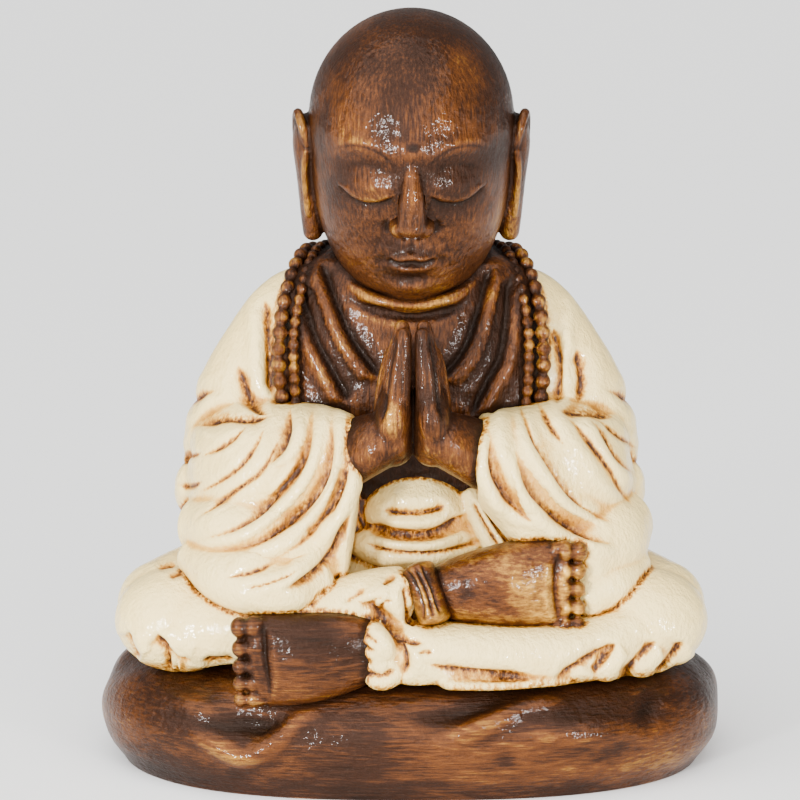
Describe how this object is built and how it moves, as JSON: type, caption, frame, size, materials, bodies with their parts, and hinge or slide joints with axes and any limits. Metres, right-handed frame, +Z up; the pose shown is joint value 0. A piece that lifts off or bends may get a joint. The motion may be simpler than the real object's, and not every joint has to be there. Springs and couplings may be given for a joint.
{
  "type": "praying monk figurine",
  "caption": "Bald monk in a draped robe, seated cross-legged on a low rock with palms pressed together and prayer beads round the neck.",
  "frame": {"origin": "on the floor under the middle of the rock, in the plane of its flat underside", "axes": "+Z up, the monk faces -Y, the high foot's toes point to +X"},
  "size_m": [0.2514, 0.1602, 0.3003],
  "materials": {
    "brown_gold_paint": "dark brown lacquer brushed with gold, glossy",
    "cream_paint": "cream lacquer with brown wash in the folds, glossy"
  },
  "bodies": {
    "root": {"praying_monk": "brown_gold_paint"}
  },
  "joints": []
}
